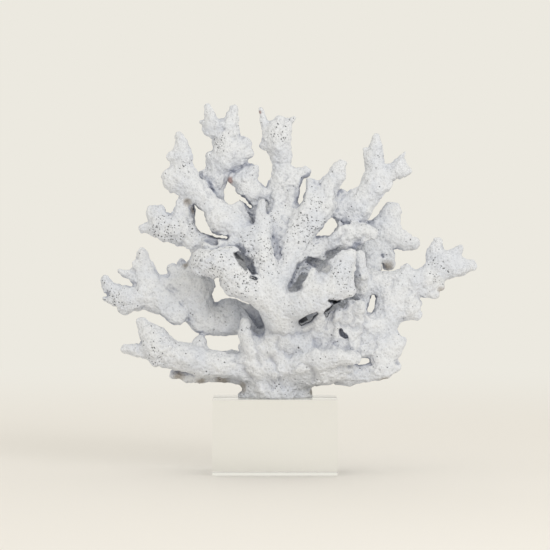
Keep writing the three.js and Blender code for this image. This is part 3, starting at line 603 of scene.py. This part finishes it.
def largest_shell(points, quads):
    """The net without the specks beside it. Joined points come to share the lowest of their numbers,
    and only those that share the commonest one stay."""
    shell = np.arange(len(points))
    while True:
        lower = shell.copy()
        np.minimum.at(lower, quads.ravel(), np.repeat(shell[quads].min(1), 4))
        lower = lower[lower]
        if (lower == shell).all():
            break
        shell = lower
    stays = shell == np.bincount(shell).argmax()
    number = np.cumsum(stays) - 1
    return points[stays], number[quads[stays[quads[:, 0]]]]


def sample(field, places):
    """A field's value at places given in grid steps, by linear blending of the 8 samples round each."""
    limit = np.array(field.shape) - 2
    first = np.clip(np.floor(places).astype(int), 0, limit)
    part = np.clip(places - first, 0, 1)
    result = np.zeros(len(places), np.float32)
    for corner in CORNERS:
        weight = np.prod(np.where(corner, part, 1 - part), axis=1)
        result += weight * field[tuple((first + corner).T)]
    return result


def slope(field, places):
    """The unit direction in which a field rises fastest, by differences of one grid step each way."""
    rise = np.stack([sample(field, places + d) - sample(field, places - d) for d in np.eye(3)], 1)
    return rise / np.maximum(np.linalg.norm(rise, axis=1, keepdims=True), 1e-6)


# ---- pores, stains and painted shade ----

PORE_DEPTH = 0.5  # mm
PAINTED_PORES = 0.03  # share of the pores that stay open where the paint lies thick
NUB_HEIGHT = 0.5  # mm
BALL_RIM = 1.2  # times its radius, how far out a ball of a scatter still counts
FOOT_FADE = 1.5  # mm over the cut foot, within which pores, grooves and nubs fade out


def scatter(spacing, radii, seed):
    """A cubic lattice of cells with one ball in each: the cells' size in mm, and each ball's place in
    its cell, its radius in mm, and its rank, by which only some of them count."""
    cells = np.ceil((COLONY_HIGH - COLONY_LOW) / spacing).astype(int) + SPARE
    random = np.random.default_rng(seed)
    place = random.random((*cells, 3)).astype(np.float32)
    return spacing, place, random.uniform(*radii, cells).astype(np.float32), random.random(cells)


PORES = scatter(1.3, (0.27, 0.52), 21)
NUBS = scatter(3.6, (1.4, 2.4), 22)

OPEN_PORES = [  # x, y, height and reach in mm of the places where the paint left the pores open
    (-38, -38, 84, 23),
    (-22, -38, 78, 19),
    (-46, -38, 86, 14),
    (-9, -30, 96, 23),
    (-2, -14, 112, 12),
    (20, -20, 108, 18),
    (26, -14, 126, 12),
    (-70, -12, 108, 18),
    (-50, -14, 108, 10),
    (-19, -20, 46, 7),
    (-104, -6, 66, 14),
    (-72, -16, 30, 16),
    (42, -44, 80, 14),
    (14, -20, 76, 13),
    (19, -20, 84, 12),
    (28, -14, 86, 9),
    (-35, -8, 165, 10),
    (3, -6, 170, 10),
    (-59, -14, 152, 6),
    (106, -8, 82, 12),
    (0, -30, 62, 12),
    (2, -18, 8, 8),
    (66, -4, 134, 7),
]

STAINS_AND_SHADE = [  # the same, of brown-grey patches: partly painted warm shade under the lowest branches and in recesses, partly skeleton that the paint missed
    (-20.5, -8, 7, 7),
    (-20, -10, 14, 5),
    (-34, -6, 11, 8),
    (-48, -6, 11, 6),
    (-62, -8, 14, 7),
    (24.5, -6, 4, 5),
    (29, -10, 8, 5),
    (70, -14, 12, 7),
    (73, 8, 84, 8),
    (-56, -12, 126, 5),
    (-52, -8, 121, 5),
    (-57, -6, 85, 5),
    (-37, -14, 106, 5),
    (106, -6, 70, 4),
]

RUST = [  # the same, of small reddish specks
    (-29, -4, 140, 4.5),
    (-23, -6, 147, 2.4),
    (-10, -2, 184, 2.6),
    (108, -4, 71, 3),
]


def closeness(points, spots):
    """From 1 at the middle of the nearest spot to 0 at its reach, by a smooth step."""
    near = np.zeros(len(points))
    for x, y, z, reach in spots:
        near = np.maximum(near, 1 - np.linalg.norm(points - (x, y, z), axis=1) / reach)
    return near * near * (3 - 2 * near)


def within(points, balls, share):
    """How deep each point is in a ball of a scatter, from 0 at its rim to 1 near its middle, falling
    by 1 for each radius outward. Only balls with a rank below the share count."""
    spacing, place, size, rank = balls
    cell = np.floor((points - COLONY_LOW) / spacing).astype(int) + SPARE // 2
    deepest = np.zeros(len(points))
    for shift in itertools.product((-1, 0, 1), repeat=3):
        key = tuple((cell + shift).T)
        centre = (cell + shift - SPARE // 2 + place[key]) * spacing + COLONY_LOW
        depth = BALL_RIM - np.linalg.norm(points - centre, axis=1) / size[key]
        deepest = np.maximum(deepest, np.clip(depth, 0, 1) * (rank[key] < share))
    return deepest


def creases(points):
    """How deep in mm the grooves press each point: half their width along their middles, and nothing
    at their rims. The depth goes as the nearness to the middle to the power 1.5."""
    x, y, z = points.T
    x, z = x + BEND * np.sin(0.9 * z + 0.4 * y), z + BEND * np.sin(0.8 * x + 0.5 * y)
    deepest = np.zeros(len(points))
    for front, back, outline in GROOVES:
        middle = [(a, b, 0) for a, b, _ in outline]
        width = np.mean([r for _, _, r in outline])
        near = np.clip(1 - flat_distance(x, z, middle) / width, 0, 1) * ((y > front) & (y < back))
        deepest = np.maximum(deepest, width / 2 * near**1.5)
    return deepest


def hollow_painted_shade(points):
    """How much painted shade each point gets for lying on the wall or at the back of a hollow: as dark
    as the hollow says inside its outline, fading out just past it."""
    x, y, z = points.T
    painted_shade = np.zeros(len(points))
    for front, back, dark, outline in HOLLOWS:
        near = np.clip(HOLLOW_EDGE - flat_distance(x, z, outline) / HOLLOW_FADE, 0, 1)
        near *= (y > front) & (y < back + HOLLOW_END)
        painted_shade = np.maximum(painted_shade, near * dark)
    return painted_shade


# ---- meshes ----

def mesh_piece(name, points, faces):
    """A smooth-shaded object from points in mm and faces."""
    mesh = bpy.data.meshes.new(name)
    mesh.from_pydata(points * MM, [], faces)
    mesh.shade_smooth()
    piece = bpy.data.objects.new(name, mesh)
    bpy.context.scene.collection.objects.link(piece)
    return piece


def point_values(piece, name, values):
    """Stores one number for each point of a piece, for its material to read."""
    layer = piece.data.attributes.new(name, "FLOAT", "POINT")
    layer.data.foreach_set("value", values.astype(np.float32))


def coral_branch(name):
    """One branch: the zero surface of its share of the colony's field. Its pores and grooves are
    pressed in and its nubs raised along the colony's own slope, so two branches still meet at their
    seam. No nub counts where the skin is smoothest, and three in four do where it is roughest.
    Crowding is 0 where the field rises outward as in open air, and 1 where, CROWD_REACH out, it is no
    higher than on the skin."""
    axes, colony, share = branch_fields(name)
    places, quads = largest_shell(*surface_net(share))
    low = np.array([a[0] for a in axes])
    skin = places * GRID + low
    outward = slope(colony, places)
    pore = within(skin, PORES, PAINTED_PORES + (1 - PAINTED_PORES) * closeness(skin, OPEN_PORES))
    nub = within(skin, NUBS, 1.5 * roughness(*skin.T) - 0.75)
    crease = creases(skin)
    press = PORE_DEPTH * pore + crease - NUB_HEIGHT * nub
    free = np.clip(skin[:, 2] / FOOT_FADE, 0, 1)
    crowding = 1 - sample(colony, places + outward * CROWD_REACH / GRID) / CROWD_REACH
    points = skin - outward * (press * free)[:, None]
    points[:, 2] = np.maximum(points[:, 2], 0) + CUT_HEIGHT + GLUE
    piece = mesh_piece("coral_" + name, points, quads)
    point_values(piece, "pore", pore)
    point_values(piece, "crowding", np.clip(crowding, 0, 1))
    point_values(piece, "crease", crease)
    point_values(piece, "hollow", hollow_painted_shade(skin))
    point_values(piece, "stain_and_shade", closeness(skin, STAINS_AND_SHADE))
    point_values(piece, "rust", closeness(skin, RUST))
    return piece


# ---- materials ----

SURROUND = "#ECE9E0"  # the paper and the room round it


def linear(code):
    """An sRGB hex colour as linear RGBA."""
    parts = [int(code[i : i + 2], 16) / 255 for i in (1, 3, 5)]
    return [c / 12.92 if c <= 0.04045 else ((c + 0.055) / 1.055) ** 2.4 for c in parts] + [1]


def new_material(name):
    material = bpy.data.materials.new(name)
    material.use_nodes = True
    material.node_tree.nodes.clear()
    return material


def add(material, kind, settings=None, **inputs):
    """Adds a node. A setting names a property; an input takes a value or another node's output."""
    node = material.node_tree.nodes.new(kind)
    for key, value in (settings or {}).items():
        setattr(node, key, value)
    for key, value in inputs.items():
        socket = node.inputs[int(key[1:])] if key[1:].isdigit() else node.inputs[key.replace("_", " ")]
        if isinstance(value, bpy.types.NodeSocket):
            material.node_tree.links.new(value, socket)
        else:
            socket.default_value = value
    return node


def painted_coral():
    """Coral skeleton under a thin coat of white paint: chalky, matt and granular all over. The open
    pores and the middles of the small cups are painted dark specks of shade, and the hollows are
    painted dark inside as their shade. Deep between the branches and in the grooves a blue-grey
    painted shade lies on the white. Under the lowest branches and round some hollows, brown-grey
    patches are partly painted warm shade and partly skeleton that the paint missed, and a few specks
    are reddish."""
    m = new_material("white painted coral skeleton")
    place = add(m, "ShaderNodeTexCoord").outputs["Object"]
    worth = {name: add(m, "ShaderNodeAttribute", {"attribute_name": name}).outputs["Fac"]
             for name in ("pore", "crowding", "crease", "hollow", "stain_and_shade", "rust")}
    patch = add(m, "ShaderNodeTexNoise", Vector=place, Scale=60.0, Detail=3.0).outputs["Fac"]
    blotch = add(m, "ShaderNodeTexNoise", Vector=place, Scale=260.0, Detail=4.0,
                 Roughness=0.7).outputs["Fac"]
    # the small cups that cover the skeleton, 1 to 2 mm apart
    cups = add(m, "ShaderNodeTexVoronoi", Vector=place, Scale=600.0).outputs["Distance"]
    colour = linear("#E2E4E8")

    def tint(amount, low, high, most, code):
        """Mixes a colour over the skin's where an amount lies between low and high."""
        share = add(m, "ShaderNodeMapRange", Value=amount, From_Min=low, From_Max=high, To_Max=most)
        return add(m, "ShaderNodeMix", {"data_type": "RGBA"}, Factor=share.outputs["Result"],
                   i6=colour, i7=linear(code)).outputs[2]

    colour = tint(patch, 0.44, 0.64, 0.7, "#D6DAE3")
    colour = tint(blotch, 0.52, 0.36, 0.2, "#C2C4CA")
    # painted shade: the middle of each small cup is painted darker, for the shade in it
    colour = tint(cups, 0.46, 0.2, 0.24, "#9A9CA4")
    # painted shade: blue-grey darkening where the colony crowds the skin, for the shade deep between the
    # branches
    colour = tint(worth["crowding"], 0.25, 1.0, 0.75, "#8F95A8")
    # partly painted shade: brown-grey patches for the warm shade under the lowest branches and in recesses,
    # partly skeleton that the paint missed
    stain_and_shade_spots = add(m, "ShaderNodeMath", {"operation": "MULTIPLY"}, i0=worth["stain_and_shade"], i1=blotch).outputs[0]
    colour = tint(stain_and_shade_spots, 0.08, 0.45, 0.7, "#978C7E")
    rusty = add(m, "ShaderNodeMath", {"operation": "MULTIPLY"}, i0=worth["rust"], i1=blotch).outputs[0]
    colour = tint(rusty, 0.12, 0.4, 0.7, "#8A5A50")
    # painted shade: the grooves are tinted blue-grey by their depth, for the shade in them
    colour = tint(worth["crease"], 0.3, 2.2, 0.35, "#868B9B")
    # painted shade: the walls and backs of the hollows are painted dark, for the shade inside them
    colour = tint(worth["hollow"], 0.0, 1.0, 0.9, "#4C4E54")
    # painted shade: each open pore is painted near-black, for the shade down inside it
    colour = tint(worth["pore"], 0.08, 0.5, 0.95, "#404248")
    relief = add(m, "ShaderNodeMath", {"operation": "MULTIPLY_ADD"}, i0=cups, i1=0.7, i2=blotch).outputs[0]
    bump = add(m, "ShaderNodeBump", Strength=1.0, Distance=0.0008, Height=relief)
    shader = add(m, "ShaderNodeBsdfPrincipled", Base_Color=colour, Roughness=0.85,
                 Normal=bump.outputs["Normal"])
    shader.inputs["Specular IOR Level"].default_value = 0.2
    add(m, "ShaderNodeOutputMaterial", Surface=shader.outputs["BSDF"])
    return m


def clear_acrylic():
    """Cast acrylic with polished edges: no colour of its own, and sharp bright lines at its edges."""
    m = new_material("polished cast acrylic")
    shader = add(m, "ShaderNodeBsdfPrincipled", Base_Color=linear("#FCFDFC"), Roughness=0.0, IOR=1.49)
    shader.inputs["Transmission Weight"].default_value = 1.0
    add(m, "ShaderNodeOutputMaterial", Surface=shader.outputs["BSDF"])
    return m


def paper_floor():
    """Cream paper that takes soft shadows near the coral. Past a metre or so it glows with the
    surroundings' own colour, so it runs on into them with no line between, as a paper sweep does."""
    m = new_material("cream paper sweep")
    place = add(m, "ShaderNodeTexCoord").outputs["Object"]
    away = add(m, "ShaderNodeVectorMath", {"operation": "LENGTH"}, i0=place).outputs["Value"]
    far = add(m, "ShaderNodeMapRange", {"interpolation_type": "SMOOTHSTEP"}, Value=away,
              From_Min=0.35, From_Max=1.25).outputs["Result"]
    paper = add(m, "ShaderNodeBsdfPrincipled", Base_Color=linear("#ECE9E5"), Roughness=0.9)
    glow = add(m, "ShaderNodeEmission", Color=linear(SURROUND), Strength=1.0)
    both = add(m, "ShaderNodeMixShader", i0=far, i1=paper.outputs["BSDF"], i2=glow.outputs["Emission"])
    add(m, "ShaderNodeOutputMaterial", Surface=both.outputs["Shader"])
    return m


# ---- the block ----

EDGE_ROUND = 0.3  # mm
EDGE_STEPS = 4  # faces across half of a rounded edge
WELD = 1e-6  # m, between points of the box's sides that are one point


def rounded_box(low, high, round_by):
    """A box with rounded edges: each point of a cube's skin is pulled back to the box's inner core,
    then pushed out from it by the radius, along the line from the core to the point."""
    half = (high - low) / 2
    core = half - round_by
    turn = np.linspace(0, 1, EDGE_STEPS + 1) * round_by
    faces, points = [], []
    for axis, side in itertools.product(range(3), (-1, 1)):
        u, v = (axis + 1) % 3, (axis + 2) % 3
        ticks = [np.concatenate([-half[i] + turn, half[i] - turn[::-1]]) for i in (u, v)]
        a, b = np.meshgrid(*ticks, indexing="ij")
        skin = np.zeros((a.size, 3))
        skin[:, axis], skin[:, u], skin[:, v] = side * half[axis], a.ravel(), b.ravel()
        inner = np.clip(skin, -core, core)
        away = skin - inner
        away /= np.linalg.norm(away, axis=1, keepdims=True)
        index = np.arange(a.size).reshape(a.shape) + sum(len(p) for p in points)
        quads = np.stack([index[:-1, :-1], index[1:, :-1], index[1:, 1:], index[:-1, 1:]], -1)
        quads = quads.reshape(-1, 4)
        faces.append(quads if side > 0 else quads[:, ::-1])
        points.append(inner + away * round_by + (low + high) / 2)
    return np.concatenate(points), np.concatenate(faces)


def acrylic_block():
    """The clear block, as one closed box with polished, slightly rounded edges."""
    low, high = (np.array(corner) / MM for corner in BLOCK)
    points, faces = rounded_box(low, high, EDGE_ROUND)
    piece = mesh_piece("clear_block", points, faces)
    work = bmesh.new()
    work.from_mesh(piece.data)
    bmesh.ops.remove_doubles(work, verts=work.verts, dist=WELD)
    work.to_mesh(piece.data)
    work.free()
    return piece


# ---- the studio ----

LIT = (0, 0, 0.12)  # m, the place that every lamp is turned to
FLOOR_HALF = 60.0  # m, half the floor's width
FLOOR_DROP = 0.05  # mm under the block, so that their faces don't share one plane


def aim(thing, target):
    """Turns a camera or a lamp to look at a place."""
    thing.rotation_euler = (Vector(target) - thing.location).to_track_quat("-Z", "Y").to_euler()


def add_camera():
    data = bpy.data.cameras.new("camera")
    data.lens = 200.3
    data.sensor_width = 36
    data.clip_end = 100
    camera = bpy.data.objects.new("camera", data)
    camera.location = (0, -1.975, 0.176)
    aim(camera, (0, 0, 0.1276))
    bpy.context.scene.collection.objects.link(camera)
    bpy.context.scene.camera = camera


def add_light(name, place, size, power, colour):
    """A round soft lamp, turned to the coral: its place and width in m, and its power in W."""
    data = bpy.data.lights.new(name, "AREA")
    data.shape = "DISK"
    data.size = size
    data.energy = power
    data.color = linear(colour)[:3]
    light = bpy.data.objects.new(name, data)
    light.location = place
    light.visible_glossy = False  # the block mirrors the room, not the lamps
    light.visible_transmission = False
    aim(light, LIT)
    bpy.context.scene.collection.objects.link(light)


def add_floor():
    corners = [(x * FLOOR_HALF, y * FLOOR_HALF, 0) for x, y in ((-1, -1), (1, -1), (1, 1), (-1, 1))]
    mesh = bpy.data.meshes.new("floor")
    mesh.from_pydata(corners, [], [(0, 1, 2, 3)])
    floor = bpy.data.objects.new("floor", mesh)
    floor.location.z = -FLOOR_DROP * MM
    floor.data.materials.append(paper_floor())
    bpy.context.scene.collection.objects.link(floor)


def add_surroundings():
    world = bpy.data.worlds.new("soft studio")
    world.use_nodes = True
    world.node_tree.nodes["Background"].inputs["Color"].default_value = linear(SURROUND)
    world.node_tree.nodes["Background"].inputs["Strength"].default_value = 1.0
    bpy.context.scene.world = world
    bpy.context.scene.view_settings.view_transform = "Standard"


add_camera()
add_floor()
add_surroundings()
add_light("key", (0.9, -1.53, 0.97), 0.9, 10.5, "#FFFFFF")
add_light("fill", (-0.8, -2.4, 0.6), 1.6, 4.0, "#F4F7FF")
add_light("back", (-0.5, 1.9, 1.3), 1.6, 4.0, "#F8FAFF")

coral_material = painted_coral()
for name in BRANCHES:
    piece = coral_branch(name)
    piece.data.materials.append(coral_material)
    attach(piece, "root")
    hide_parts(name)

block = acrylic_block()
block.data.materials.append(clear_acrylic())
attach(block, "root")
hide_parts("acrylic_block")
block.visible_shadow = False  # light goes on through it to the floor
